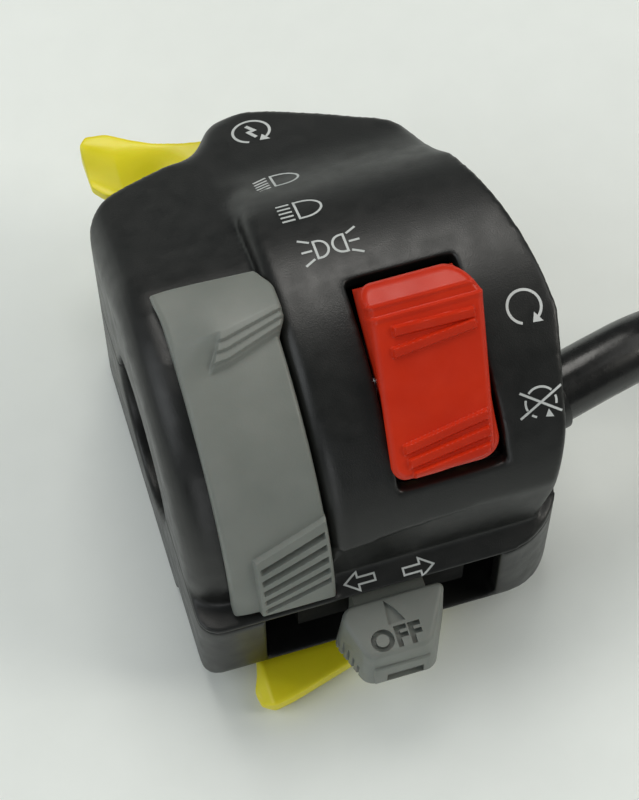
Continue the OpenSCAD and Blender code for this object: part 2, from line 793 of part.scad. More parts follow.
horn_shape = [
    [-17.8, -29.4], [-18.6, -31.3], [-18.3, -33.3], [-16.7, -34.4], [-14, -33.9], [-6.6, -31.8], [1, -29.4],
    [8, -26], [10.4, -22.4], [9.6, -18.6], [6, -17], [0, -18.4], [-8, -21], [-13, -23.4], [-17.2, -27]
];
module horn_lever() {
    color(yellow) translate([0, 0, horn_z1 - horn_h]) linear_extrude(horn_h) difference() {
        polygon(horn_shape);
        translate(horn_pivot) circle(r = pin_r + fit);
    }
}
module horn_pin() {
    color(steel) translate([horn_pivot[0], horn_pivot[1], horn_z1 - horn_h - 0.8]) {
        cylinder(r = pin_r, h = floor_z + wall - horn_z1 + horn_h + 0.6);
        cylinder(r = pin_r + 1, h = 0.5);
    }
}
module horn_spring() {
    color(steel) translate([-9, -20.5, horn_z1 - horn_h / 2]) rotate([-90, 0, 0])
        tube(helix(spring_r, horn_spring_h, horn_curls), spring_wire, 6);
}
module horn_contact() {
    color(brass) translate([-11, foot_y - 2.1, floor_z - 3.2]) cube([4, 0.5, 3.2]);
}

// Loom

module gland() {
    color(black) gland_place() difference() {
        union() {
            translate([0, 0, -gland_in]) cylinder(r = gland_r - 0.6, h = gland_in + lead_from);
            translate([0, 0, -gland_in]) cylinder(r = flange_r, h = 1.6);
        }
        translate([0, 0, -gland_in - 1]) cylinder(r = loom_r - 1, h = 20);
    }
}

module loom_lead() {
    color(black) tube(lead, loom_r, 12);
}

module loom_coil() {
    color(black) tube(coil_path, loom_r, 6);
}

// Strap round both turns of the coil
tie_a = coil_start + 30;
tie_w = 4;
module coil_tie() {
    turn = (tie_a - coil_start) / 360;
    inside = loom_r + gap;
    far = coil_r - coil_pitch * turn + inside;
    near = coil_r - coil_pitch * (turn + 1) - inside;
    color(black) translate([coil_at[0], coil_at[1], loom_z]) rotate([0, 0, tie_a]) difference() {
        translate([near - tie_t, -tie_w / 2, -inside - tie_t])
            cube([far - near + 2 * tie_t, tie_w, 2 * (inside + tie_t)]);
        translate([near, -tie_w, -inside]) cube([far - near, 2 * tie_w, 2 * inside]);
    }
}

plug_len = 22;
plug_w = 13;
plug_h = 10;
plug_foot = base_z + 0.2 - loom_z;
module connector() {
    color(natural) translate(coil_path[len(coil_path) - 1])
        rotate([0, 0, atan2(tail_way[1], tail_way[0])]) difference() {
            translate([0, -plug_w / 2, plug_foot]) cube([plug_len, plug_w, plug_h]);
            for (i = [-1:1], k = [0, 1])
                translate([plug_len - 8, 3.6 * i - 1.3, plug_foot + 1.6 + 3.8 * k]) cube([10, 2.6, 2.8]);
        }
}

upper_shell();
lower_shell();
clamp_screws();
light_slider();
light_carriage();
light_wiper();
light_ball();
light_spring();
light_base();
light_contacts();
stop_rocker();
rocker_pin();
stop_plunger();
stop_spring();
stop_base();
stop_contacts();
signal_knob();
signal_carriage();
signal_screw();
signal_ball();
signal_spring();
signal_base();
signal_contacts();
start_lever();
start_pin();
start_spring();
start_contact();
horn_lever();
horn_pin();
horn_spring();
horn_contact();
gland();
loom_lead();
loom_coil();
coil_tie();
connector();
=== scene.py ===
import json
import math

import bpy
from mathutils import Matrix, Vector
from mathutils.bvhtree import BVHTree


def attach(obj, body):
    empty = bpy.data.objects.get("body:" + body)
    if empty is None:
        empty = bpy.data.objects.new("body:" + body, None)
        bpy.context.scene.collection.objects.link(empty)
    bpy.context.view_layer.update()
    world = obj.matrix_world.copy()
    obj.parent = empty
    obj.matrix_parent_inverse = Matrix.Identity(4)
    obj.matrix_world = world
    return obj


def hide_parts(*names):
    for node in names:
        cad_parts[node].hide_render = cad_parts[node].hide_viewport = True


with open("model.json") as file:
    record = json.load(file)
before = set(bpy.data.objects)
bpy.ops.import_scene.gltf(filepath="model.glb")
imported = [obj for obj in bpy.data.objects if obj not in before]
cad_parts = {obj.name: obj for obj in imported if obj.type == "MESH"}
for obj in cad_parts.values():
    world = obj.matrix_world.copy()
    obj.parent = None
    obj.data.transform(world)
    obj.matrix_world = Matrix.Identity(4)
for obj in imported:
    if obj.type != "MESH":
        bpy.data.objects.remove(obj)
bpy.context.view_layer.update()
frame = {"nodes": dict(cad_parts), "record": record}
MM = 0.001

# The object's own sizes, in millimetres and degrees, as in the part's source
panel_r = 28.5
panel_x = -4.6
valley_r = 25.8
slider_r = 26.1
base_z = -19.5
hump_angle = 65
stop_angle = 118.75
rocker_tilt = 8
pivot_r = 24
loom_d = 8.4
tie_t = 0.9
gap = 0.3


# Helpers

weld_within = 0.002
clear_of_skin = 0.05
block_smooth = math.radians(40)


def deselect():
    bpy.ops.object.select_all(action="DESELECT")


def pick(obj):
    deselect()
    obj.select_set(True)
    bpy.context.view_layer.objects.active = obj


def edit(obj):
    pick(obj)
    bpy.ops.object.mode_set(mode="EDIT")


def done():
    bpy.ops.object.mode_set(mode="OBJECT")


def modify(obj, kind, **settings):
    pick(obj)
    modifier = obj.modifiers.new(kind.lower(), kind)
    for key, value in settings.items():
        setattr(modifier, key, value)
    bpy.ops.object.modifier_apply(modifier=modifier.name)


def turn_of(angle):
    """The way that points out from the bar at an angle, from +Y towards +Z."""
    a = math.radians(angle)
    return Vector((0, math.cos(a), math.sin(a)))


def around(x, radius, angle):
    """A point at an angle about the bar, from +Y towards +Z, in metres."""
    a = math.radians(angle)
    return Vector((x, radius * math.cos(a), radius * math.sin(a))) * MM


def smoothstep(low, high, value):
    t = min(max((value - low) / (high - low), 0), 1)
    return t * t * (3 - 2 * t)


def fillet(distance, radius):
    """How far a rounded edge falls at a distance from the border."""
    short = min(max(radius - distance, 0), radius)
    return radius - math.sqrt(radius * radius - short * short)


def face_outwards(obj):
    edit(obj)
    bpy.ops.mesh.select_all(action="SELECT")
    bpy.ops.mesh.normals_make_consistent(inside=False)
    done()


def mesh_piece(name, points, faces):
    mesh = bpy.data.meshes.new(name)
    mesh.from_pydata(points, [], faces)
    obj = bpy.data.objects.new(name, mesh)
    bpy.context.collection.objects.link(obj)
    face_outwards(obj)
    return obj


def node_copy(node, name):
    source = frame["nodes"][node]
    obj = bpy.data.objects.new(name, source.data.copy())
    obj.data.transform(source.matrix_world)
    bpy.context.collection.objects.link(obj)
    obj.data.materials.clear()
    edit(obj)
    bpy.ops.mesh.select_all(action="SELECT")
    bpy.ops.mesh.remove_doubles(threshold=weld_within * MM)
    bpy.ops.mesh.customdata_custom_splitnormals_clear()
    done()
    return obj


def soften(obj, voxel, rounds):
    """Gives a sharp solid the small radii of a moulding."""
    pick(obj)
    obj.data.remesh_voxel_size = voxel * MM
    obj.data.remesh_voxel_adaptivity = 0
    obj.data.use_remesh_preserve_attributes = False
    bpy.ops.object.voxel_remesh()
    modify(obj, "SMOOTH", factor=0.5, iterations=rounds)
    pick(obj)
    bpy.ops.object.shade_smooth()


def thin_inside(obj, share):
    """Leaves fewer faces where no line of sight leads out of a hollow piece."""
    tree = BVHTree.FromObject(obj, bpy.context.evaluated_depsgraph_get())
    mesh = obj.data
    mesh.polygons.foreach_set("select", [False] * len(mesh.polygons))
    mesh.edges.foreach_set("select", [False] * len(mesh.edges))
    for vertex in mesh.vertices:
        normal = vertex.normal
        start = vertex.co + clear_of_skin * MM * normal
        side = normal.orthogonal().normalized()
        other = normal.cross(side)
        ways = (normal, normal + side, normal - side, normal + other, normal - other)
        vertex.select = all(tree.ray_cast(start, way)[0] for way in ways)
    edit(obj)
    bpy.ops.mesh.select_mode(type="VERT")
    bpy.ops.mesh.decimate(ratio=share)
    done()


def combine(obj, tool, operation):
    modify(obj, "BOOLEAN", operation=operation, solver="EXACT", object=tool)
    bpy.data.objects.remove(tool, do_unlink=True)


def cut(obj, tool):
    combine(obj, tool, "DIFFERENCE")


def grow(obj, tool):
    combine(obj, tool, "UNION")


def box(name, low, high):
    deselect()
    middle = (Vector(low) + Vector(high)) / 2
    bpy.ops.mesh.primitive_cube_add(size=1, location=middle * MM)
    obj = bpy.context.object
    obj.name = name
    obj.scale = (Vector(high) - Vector(low)) * MM
    bpy.ops.object.transform_apply()
    return obj


def grid_block(name, across, along, top, under):
    """A closed block: a fine grid above, a grid below and walls between them."""
    deselect()
    bpy.ops.mesh.primitive_grid_add(x_subdivisions=across, y_subdivisions=along, size=2)
    obj = bpy.context.object
    obj.name = name
    bpy.ops.object.mode_set(mode="EDIT")
    bpy.ops.mesh.select_all(action="SELECT")
    bpy.ops.mesh.duplicate()
    bpy.ops.mesh.flip_normals()
    bpy.ops.transform.translate(value=(0, 0, -1))
    bpy.ops.mesh.select_mode(type="EDGE")
    bpy.ops.mesh.select_all(action="DESELECT")
    bpy.ops.mesh.select_non_manifold()
    bpy.ops.mesh.bridge_edge_loops()
    done()
    for vertex in obj.data.vertices:
        u, v = (vertex.co.x + 1) / 2, (vertex.co.y + 1) / 2
        vertex.co = top(u, v) if vertex.co.z > -0.5 else under(u, v)
    face_outwards(obj)
    bpy.ops.object.shade_smooth_by_angle(angle=block_smooth)
    return obj


# Camera at the photograph's viewing angle

view_azimuth = math.radians(-17.01)
view_elevation = math.radians(63.34)
view_target = Vector((-1.52, -4.294, 6.153)) * MM
view_distance = 328.35 * MM
image_height_px = 800
focal_px = 2565.5
sensor_mm = 36
nearest_seen = 0.01


def make_camera():
    back = Vector((math.sin(view_azimuth) * math.cos(view_elevation),
                   -math.cos(view_azimuth) * math.cos(view_elevation),
                   math.sin(view_elevation)))
    right = Vector((0, 0, 1)).cross(back).normalized()
    up = back.cross(right)
    data = bpy.data.cameras.new("camera")
    data.sensor_width = sensor_mm
    data.sensor_fit = "AUTO"
    data.lens = focal_px * sensor_mm / image_height_px
    data.clip_start = nearest_seen
    camera = bpy.data.objects.new("camera", data)
    turn = Matrix((right, up, back)).transposed().to_4x4()
    camera.matrix_world = Matrix.Translation(view_target + view_distance * back) @ turn
    bpy.context.collection.objects.link(camera)
    bpy.context.scene.camera = camera


make_camera()


# Loom: the same route as the part's source, in millimetres

def spoke(angle):
    return Vector((math.cos(angle), math.sin(angle), 0))


gland_at = Vector((24.4, -15, 12))
gland_turn = math.radians(14)
lead_from = 1.4
loom_way = spoke(gland_turn)
loom_z = base_z + tie_t + gap + loom_d / 2
lead_start = gland_at + lead_from * loom_way
land_turn = math.radians(-28)
land_way = spoke(land_turn)
lead_end = Vector((91.4, -21.2, loom_z))
lead_points = [lead_start, lead_start + loom_d * loom_way, *map(Vector, (
    (38.4, -11.5, 11.6), (43, -10.5, 10.2), (47.6, -9.8, 8.1), (52.3, -9.4, 5.4), (56.9, -9.3, 2.3),
    (61.6, -9.7, -1.1), (66.2, -10.4, -4.6), (70.7, -11.6, -7.7), (75.1, -13.2, -10.4),
    (79.4, -15, -12.5), (83.6, -17.1, -13.8))),
    lead_end - loom_d / 2 * land_way, lead_end]
coil_r = 43
coil_gap = 0.9
coil_pitch = loom_d + coil_gap
rings_per_turn = 24
coil_rings = 36
tail_r = 18
tail_turn = math.radians(115)
tail_rings = 8


def coil_points():
    start = land_turn - math.pi / 2
    centre = lead_end + loom_d / 2 * land_way - coil_r * spoke(start)
    points = []
    for i in range(coil_rings + 1):
        angle = start + math.tau * i / rings_per_turn
        points.append(centre + (coil_r - coil_pitch * i / rings_per_turn) * spoke(angle))
    tail = points[-1] - tail_r * spoke(angle)
    for i in range(1, tail_rings + 1):
        tail_angle = angle + tail_turn * i / tail_rings
        points.append(tail + tail_r * spoke(tail_angle))
    points.append(points[-1] + loom_d * spoke(tail_angle + math.pi / 2))
    return points


loom_points = lead_points + coil_points()


def make_loom():
    """The loom's half width is its points' radius, so that the curve's box is the loom's own."""
    deselect()
    bpy.ops.curve.primitive_bezier_curve_add()
    loom = bpy.context.object
    loom.name = "loom"
    loom.data.splines.clear()
    spline = loom.data.splines.new("BEZIER")
    spline.bezier_points.add(len(loom_points) - 1)
    for bezier, point in zip(spline.bezier_points, loom_points):
        bezier.co = point * MM
        bezier.handle_left_type = bezier.handle_right_type = "AUTO"
        bezier.radius = loom_d / 2 * MM
    loom.data.dimensions = "3D"
    loom.data.resolution_u = 6
    loom.data.bevel_depth = 1
    loom.data.bevel_resolution = 8
    loom.data.use_fill_caps = True
    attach(loom, "housing")
    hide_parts("loom_lead", "loom_coil")
    return loom


loom = make_loom()


# Materials
# A mix node's sockets go by number: 0 is the share, 2 and 3 two values, 6 and 7 two colours

cloud_scale, smear_scale = 140, 420
noise_low, noise_high = 0.3, 0.7
grain_depth = 0.05
soft_reach = 0.6


def shader(name):
    material = bpy.data.materials.new(name)
    material.use_nodes = True
    return material, material.node_tree.nodes, material.node_tree.links


def noise(nodes, links, scale, detail):
    place = nodes.new("ShaderNodeTexCoord")
    texture = nodes.new("ShaderNodeTexNoise")
    texture.inputs["Scale"].default_value = scale
    texture.inputs["Detail"].default_value = detail
    links.new(place.outputs["Object"], texture.inputs["Vector"])
    return texture.outputs["Fac"]


def spread(nodes, links, value, low, high):
    scale = nodes.new("ShaderNodeMapRange")
    scale.inputs["From Min"].default_value = noise_low
    scale.inputs["From Max"].default_value = noise_high
    scale.inputs["To Min"].default_value = low
    scale.inputs["To Max"].default_value = high
    links.new(value, scale.inputs["Value"])
    return scale.outputs["Result"]


def blotch(nodes, links, value, first, second):
    mix = nodes.new("ShaderNodeMix")
    mix.data_type = "RGBA"
    mix.inputs[6].default_value = (*first, 1)
    mix.inputs[7].default_value = (*second, 1)
    links.new(spread(nodes, links, value, 0, 1), mix.inputs[0])
    return mix.outputs[2]


def surface(name, first, second, rough, grain, height, metallic=0, specular=0.5, soft=0):
    """A moulded or drawn surface: mottled colour, uneven gloss and a fine grain."""
    material, nodes, links = shader(name)
    base = nodes["Principled BSDF"]
    cloud = noise(nodes, links, cloud_scale, detail=4)
    links.new(blotch(nodes, links, cloud, first, second), base.inputs["Base Color"])
    smear = noise(nodes, links, smear_scale, detail=5)
    links.new(spread(nodes, links, smear, *rough), base.inputs["Roughness"])
    bump = nodes.new("ShaderNodeBump")
    bump.inputs["Strength"].default_value = height
    bump.inputs["Distance"].default_value = grain_depth * MM
    links.new(noise(nodes, links, grain, detail=3), bump.inputs["Height"])
    links.new(bump.outputs["Normal"], base.inputs["Normal"])
    base.inputs["Metallic"].default_value = metallic
    base.inputs["Specular IOR Level"].default_value = specular
    base.inputs["Subsurface Weight"].default_value = soft
    base.inputs["Subsurface Scale"].default_value = soft_reach * MM
    return material


black = surface("black_plastic", (0.0050, 0.0055, 0.0050), (0.0085, 0.0088, 0.0080), (0.32, 0.44),
                grain=5200, height=0.5)
grey = surface("grey_plastic", (0.165, 0.178, 0.160), (0.195, 0.206, 0.186), (0.4, 0.52),
               grain=4200, height=0.25, soft=0.04)
red = surface("red_plastic", (0.53, 0.022, 0.004), (0.60, 0.030, 0.006), (0.3, 0.42),
              grain=3600, height=0.2, specular=0.3, soft=0.05)
yellow = surface("yellow_plastic", (0.80, 0.70, 0.010), (0.88, 0.77, 0.016), (0.32, 0.44),
                 grain=3600, height=0.2, soft=0.08)
brass = surface("brass", (0.58, 0.40, 0.14), (0.66, 0.47, 0.18), (0.25, 0.4),
                grain=3000, height=0.2, metallic=1)
steel = surface("steel", (0.50, 0.51, 0.53), (0.60, 0.61, 0.62), (0.22, 0.36),
                grain=3000, height=0.2, metallic=1)
# Darker than the housing's black: painted shade for the signal carriage deep in its slot
carriage_painted_shade = surface("carriage_painted_shade", (0.002, 0.002, 0.002), (0.004, 0.004, 0.004), (0.7, 0.8),
                     grain=3000, height=0.3, specular=0.2)
board = surface("board", (0.040, 0.032, 0.026), (0.055, 0.044, 0.034), (0.45, 0.6),
                grain=2600, height=0.4)
sleeve = surface("sleeve", (0.005, 0.005, 0.005), (0.009, 0.009, 0.008), (0.2, 0.32),
                 grain=1500, height=0.25)
nylon = surface("natural_nylon", (0.66, 0.63, 0.55), (0.74, 0.71, 0.63), (0.4, 0.5),
                grain=2600, height=0.2, soft=0.15)
ink = surface("white_ink", (0.44, 0.47, 0.46), (0.60, 0.62, 0.61), (0.45, 0.6),
              grain=5000, height=0.2)
pale_paper = surface("pale_paper", (0.85, 0.885, 0.855), (0.87, 0.905, 0.875), (0.6, 0.7),
                     grain=300, height=0.05, specular=0.3)

slot_finish = {"black_plastic": black, "grey_plastic": grey, "red_plastic": red, "yellow_plastic": yellow,
               "brass": brass, "steel": steel, "board": board, "sleeve": sleeve, "natural_nylon": nylon}


def finish(piece, material):
    piece.data.materials.clear()
    piece.data.materials.append(material)


finish(loom, sleeve)


# Housing

shell_voxel, shell_rounds = 0.44, 9
inside_share = 0.25
hump_out = turn_of(hump_angle)
hump_lift = panel_r * math.cos(math.radians(90 - hump_angle))
crease_blend = 2.0
crease_y = 21.8
crease_front = 10
crease_left = panel_x - 2
upward = 0.4
skin_near, skin_far = 0.1, 0.6
ease_rounds = 80
ease_full, ease_none = 3, 6
ease_front, ease_back = 13, 17
ease_low = 10
step_x = panel_x - 1


def fill_crease(shell):
    """Rounds the hollow line where the starter's hump leaves the main panel."""
    places = [(vertex.co / MM, vertex.normal.copy()) for vertex in shell.data.vertices]
    filled = []
    for p, normal in places:
        off_panel = math.hypot(p.y, p.z) - panel_r
        off_hump = p.dot(hump_out) - hump_lift
        near = 1 - smoothstep(skin_near, skin_far, abs(min(off_panel, off_hump)))
        if p.x > crease_left and p.y > crease_front and normal.z > upward and near > 0:
            share = max(crease_blend - abs(off_panel - off_hump), 0) / crease_blend
            p = p + near * share ** 2 * crease_blend / 4 * normal
        filled.extend(p * MM)
    shell.data.vertices.foreach_set("co", filled)
    shell.data.update()


def ease_hump(shell):
    """Lets the starter's hump, its crease and the step beside it run softly into each other."""
    group = shell.vertex_groups.new(name="hump_foot")
    for vertex in shell.data.vertices:
        p = vertex.co / MM
        outside = smoothstep(-1.2, -0.6, math.hypot(p.y, p.z) - valley_r)
        step = 1 - smoothstep(ease_full, ease_none, abs(p.x - step_x))
        crease = 1 - smoothstep(ease_full, ease_none, abs(p.y - crease_y))
        behind = smoothstep(ease_front, ease_back, p.y) * (p.z > ease_low)
        weight = outside * behind * max(step, crease * (p.x > panel_x))
        if weight > 0:
            group.add([vertex.index], weight, "REPLACE")
    modify(shell, "SMOOTH", factor=0.5, iterations=ease_rounds, vertex_group="hump_foot")
    shell.vertex_groups.clear()


def make_shell(node, name):
    shell = node_copy(node, name)
    soften(shell, shell_voxel, shell_rounds)
    if node == "upper_shell":
        fill_crease(shell)
        ease_hump(shell)
    thin_inside(shell, inside_share)
    finish(shell, black)
    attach(shell, "housing")
    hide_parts(node)
    return shell


upper = make_shell("upper_shell", "upper_housing")
make_shell("lower_shell", "lower_housing")


# Light slider: a thumb ridge above, a ribbed pad below
# x runs along the bar in millimetres, and angles are about the bar in degrees

slider_left, slider_right = -19.8, -6.8
slider_high, slider_low = 81, 177.5
slider_t = 2.2
slider_edge_r = 0.6
slider_grid = 100, 420
end_skew = 1.8
end_pull, end_pull_to = 0.4, 83
flare, flare_from, flare_to = 1.1, (82, 88.5), (96, 101)
ear, ear_fades = 0.45, (80, 91)
lean_w, lean_fall = 3, 0.3
lean_x = slider_left + lean_w
degree = slider_r * math.pi / 180

ridge_left, ridge_right = -13.4, -5.7
ridge_h = 2.1
ridge_foot = 0.15
ridge_ribs = 3
ribs_fall = 1.35
ribs_end = 1.25
ribs_skew = 0.29
stair_sharp = 0.8
crest_angle, crest_skew = 93.6, 0.42
fall_angle, fall_skew = 4.6, 0.24
shoulder_left, shoulder_low = -19.5, 0.3
soft_from, soft_to, soft_skew = -0.1, 0.9, 0.12

pad_left, pad_right = -16.5, -7.5
pad_h = 0.8
pad_angle, pad_skew = 155.2, 0.76
pad_ribs = 5
first_rib, rib_pitch = 0.7, 4.0
groove_depth = 1.9

stem_x, stem_w = -14.2, 2
stem_angle, stem_half = 130, 6
stem_foot = 20.6
stem_sunk = 0.5
stem_grid = 2, 8


def stair(value):
    step = math.floor(value)
    return step + smoothstep(stair_sharp, 1, value - step)


def ridge(x, angle):
    """Height of the thumb ridge: it rises to a crest, then falls by ribs on the right, softly on the left."""
    crest = crest_angle + crest_skew * min(ridge_right - x, ridge_right - ridge_left)
    shoulder = shoulder_low + (1 - shoulder_low) * smoothstep(shoulder_left, ridge_left, x)
    if angle < crest:
        rise = (angle - slider_high) / (crest - slider_high)
        return ridge_h * shoulder * (ridge_foot + (1 - ridge_foot) * rise)
    drop = (angle - crest) / (fall_angle + fall_skew * (ridge_right - x))
    soft_end = soft_to + soft_skew * max(ridge_left - x, 0)
    soft = ridge_h * shoulder * (1 - smoothstep(soft_from, soft_end, drop))
    ribs = ridge_h - ribs_fall * stair(min(drop, 1) * ridge_ribs) / ridge_ribs
    ribs *= 1 - smoothstep(1, ribs_end, drop)
    edge = ridge_left - ribs_skew * (angle - crest)
    return soft + smoothstep(edge - 0.6, edge, x) * (ribs - soft)


def pad(x, angle):
    """Height of the pad, with a slit beside each of its ribs."""
    top = pad_angle - pad_skew * (x - pad_left)
    inside = smoothstep(pad_left - 0.15, pad_left + 0.15, x) * smoothstep(top - 0.4, top, angle)
    rib = (angle - top - first_rib) / rib_pitch
    phase = rib - math.floor(rib)
    rim = smoothstep(pad_left + 0.55, pad_left + 0.8, x) * (1 - smoothstep(pad_right, pad_right + 0.2, x))
    slit = smoothstep(0.52, 0.6, phase) * (1 - 0.75 * smoothstep(0.66, 1, phase))
    groove = groove_depth * slit * rim if 0 < rib < pad_ribs else 0
    return inside * (pad_h - groove)


def slider_edge(angle):
    """Right edge of the slider: the ridge reaches a little over the panel."""
    wide = smoothstep(*flare_from, angle) * (1 - smoothstep(*flare_to, angle))
    return slider_right + flare * wide - end_pull * (1 - smoothstep(slider_high, end_pull_to, angle))


def slider_end(u):
    """The upper end runs a little further back on the left."""
    return slider_high - end_skew * (1 - u)


def slider_top(u, v):
    high = slider_end(u)
    angle = slider_low + (high - slider_low) * v
    right = slider_edge(angle)
    left = slider_left - ear * (1 - smoothstep(*ear_fades, angle))
    x = left + (right - left) * u
    lean = max(lean_x - x, 0) / lean_w
    height = slider_t - lean_fall * lean ** 2 + ridge(x, angle) + pad(x, angle)
    border = min(x - left, right - x, (slider_low - angle) * degree, (angle - high) * degree)
    return around(x, slider_r + height - fillet(border, slider_edge_r), angle)


def slider_under(u, v):
    x = slider_left + (slider_right - slider_left) * u
    return around(x, slider_r, slider_low + (slider_end(u) - slider_low) * v)


def stem_point(u, v, radius):
    return around(stem_x + stem_w * u, radius, stem_angle + stem_half * (1 - 2 * v))


def make_slider():
    slider = grid_block("light_slider_cap", *slider_grid, slider_top, slider_under)
    stem = grid_block("stem", *stem_grid, lambda u, v: stem_point(u, v, slider_r + stem_sunk),
                      lambda u, v: stem_point(u, v, stem_foot))
    pick(slider)
    stem.select_set(True)
    bpy.ops.object.join()
    finish(slider, grey)
    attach(slider, "light")
    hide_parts("light_slider")


make_slider()


# Stop rocker, drawn across its own tilted plane: x along the bar, t up the face, height off the pin

face_low, face_high = -11, 13
face_half_w = 7
face_corner = 2.2
face_edge_r = 0.9
face_h = 7
rim_share = 0.88
foot_h = 3.4
foot_left, foot_right = 3.0, 16.1
foot_low, foot_high = -11.5, 12.5
under_in = 0.2
under_h = 1
rocker_grid = 130, 300
# Each side of the face: its x at side_t, its lean, and where and how much it turns in
side_t = -10
left_side = 1.75, 0.09, 9.5, 0.25
right_side = 14.9, 0.147, 9.1, 0.64
# Each step of the face: where its crest starts and ends, where its fall starts and ends, and its depth
face_steps = [(8.3, 8.9, 9.0, 9.25, 0.42), (10.0, 10.4, 10.5, 10.75, 0.35)]
crest_h = 0.12
brow_t, brow_slope = 10.7, 0.72
# Each grip rib: left end x and t, right end x and t
rocker_ribs = [(5.9, 7.7, 15.9, 7.5), (5.3, 5.2, 15.8, 6.2),
               (3.9, -6.6, 14.7, -4.9), (4.1, -8.4, 14.5, -7.0), (4.4, -10.1, 14.2, -9.0)]
rib_h = 0.7
rib_w = 1.35
rib_edge = 0.12
rib_slope = 0.35
rib_back = 0.25


def rocker_point(x, t, height):
    tilt = math.radians(rocker_tilt)
    out, across = turn_of(stop_angle), turn_of(stop_angle - 90)
    t_way = math.cos(tilt) * across + math.sin(tilt) * out
    h_way = math.cos(tilt) * out - math.sin(tilt) * across
    return (Vector((x, 0, 0)) + pivot_r * out + t * t_way + height * h_way) * MM


def face_side(side, t):
    x, lean, turn_t, turn_in = side
    return x + lean * (t - side_t) - turn_in * max(t - turn_t, 0)


def rib_height(x, t):
    height = 0
    for x0, t0, x1, t1 in rocker_ribs:
        share = (x - x0) / (x1 - x0)
        below = t0 + (t1 - t0) * share - t
        ends = smoothstep(x0 - 0.2, x0 + 0.1, x) * (1 - smoothstep(x1 - 0.1, x1 + 0.2, x))
        rise = smoothstep(-rib_edge, rib_edge, below) * (1 - rib_slope * smoothstep(0.15, rib_w, below))
        rise *= 1 - smoothstep(rib_w - rib_back, rib_w, below)
        height = max(height, rib_h * ends * rise)
    return height


def face_height(t):
    """The rocker's face, with two steps at its upper end and a slope beyond them."""
    height = face_h
    for crest_from, crest_to, fall_from, fall_to, fall in face_steps:
        height += crest_h * smoothstep(crest_from, crest_to, t) - fall * smoothstep(fall_from, fall_to, t)
    return height - brow_slope * max(t - brow_t, 0)


def rocker_top(u, v):
    """The face inside its rim, and the rounded flank from the rim down to the foot."""
    s, w = 2 * u - 1, 2 * v - 1
    ring = max(abs(s), abs(w), 0.001)
    inner = min(1, rim_share / ring) / rim_share
    half_l = (face_high - face_low) / 2
    across, along = s * inner * face_half_w, w * inner * half_l
    border = min(face_half_w - abs(across), half_l - abs(along))
    dx, dy = abs(across) - face_half_w + face_corner, abs(along) - half_l + face_corner
    if dx > 0 and dy > 0:
        pull = max(dx, dy) / math.hypot(dx, dy)
        across = math.copysign(face_half_w - face_corner + dx * pull, across)
        along = math.copysign(half_l - face_corner + dy * pull, along)
    t = along + (face_high + face_low) / 2
    side = across / face_half_w
    left, right = face_side(left_side, t), face_side(right_side, t)
    x = (left + right) / 2 + side * (right - left) / 2
    height = face_height(t) + rib_height(x, t) - fillet(border, face_edge_r)
    down = max(ring - rim_share, 0) / (1 - rim_share)
    out = 1 - (1 - down) ** 2
    foot_x = (foot_left + foot_right) / 2 + side * (foot_right - foot_left) / 2
    foot_t = min(max(t, foot_low), foot_high)
    return rocker_point(x + (foot_x - x) * out, t + (foot_t - t) * out,
                        height + (foot_h - height) * down ** 1.5)


def rocker_under(u, v):
    x = foot_left + under_in + (foot_right - foot_left - 2 * under_in) * u
    t = foot_low + under_in + (foot_high - foot_low - 2 * under_in) * v
    return rocker_point(x, t, under_h)


def make_rocker():
    rocker = grid_block("stop_rocker_cap", *rocker_grid, rocker_top, rocker_under)
    finish(rocker, red)
    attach(rocker, "stop")
    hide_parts("stop_rocker")


make_rocker()


# Turn-signal knob

knob_back, knob_front = -29.5, -37.4
knob_low, knob_high, knob_brow = -10.6, -1.6, -2.4
brow_y = knob_front + 0.5
knob_corners = {
    (-1, -1, -1): (-5.3, knob_front, knob_low), (1, -1, -1): (3.9, knob_front - 0.2, knob_low),
    (-1, 1, -1): (-8.2, knob_back, knob_low), (1, 1, -1): (7.7, knob_back, knob_low),
    (-1, -1, 1): (-5.1, brow_y, knob_brow), (1, -1, 1): (3.3, brow_y, knob_brow),
    (-1, 1, 1): (-7.2, knob_back, knob_high), (1, 1, 1): (7.5, knob_back, knob_high)}
# How far each upright edge is rounded, as a share of the largest radius
knob_rounding = {(-1, 1): 1.0, (1, 1): 0.6, (-1, -1): 0.5, (1, -1): 0.5}
upright_r = 2.4
knob_edge_r = 0.9
plinth_edge_r = 0.3
sharp_edge = math.radians(32)
knob_smooth = math.radians(35)
neck_low, neck_high = (-4.4, knob_back - 1.5, -10), (5, -26.6, -3.2)
plinth_low, plinth_high = (-4.3, knob_front - 0.1, knob_low + 0.2), (3.2, knob_front + 2, -5.6)
recess_low, recess_high = (-2.6, knob_front - 1, knob_low + 0.65), (2.3, knob_front + 0.5, -7.9)
grip_grooves = 5
first_groove, groove_pitch = -31.4, 1
groove_half = 0.22
pointer_corners = [(-1.3, 3.7), (-1, 6.9), (0.1, 5.6), (1.0, 3.8)]
pointer_depth = 0.5
letter_gap = 1.05
letter_bold = 0.15


def knob_face(x, y, depth):
    """A point on the knob's sloping face, or below it."""
    slope = math.atan2(knob_high - knob_brow, knob_back - brow_y)
    foot = Vector((0, brow_y, knob_brow))
    along = Vector((0, math.cos(slope), math.sin(slope)))
    out = Vector((0, -math.sin(slope), math.cos(slope)))
    return (foot + Vector((x, 0, 0)) + y * along - depth * out) * MM


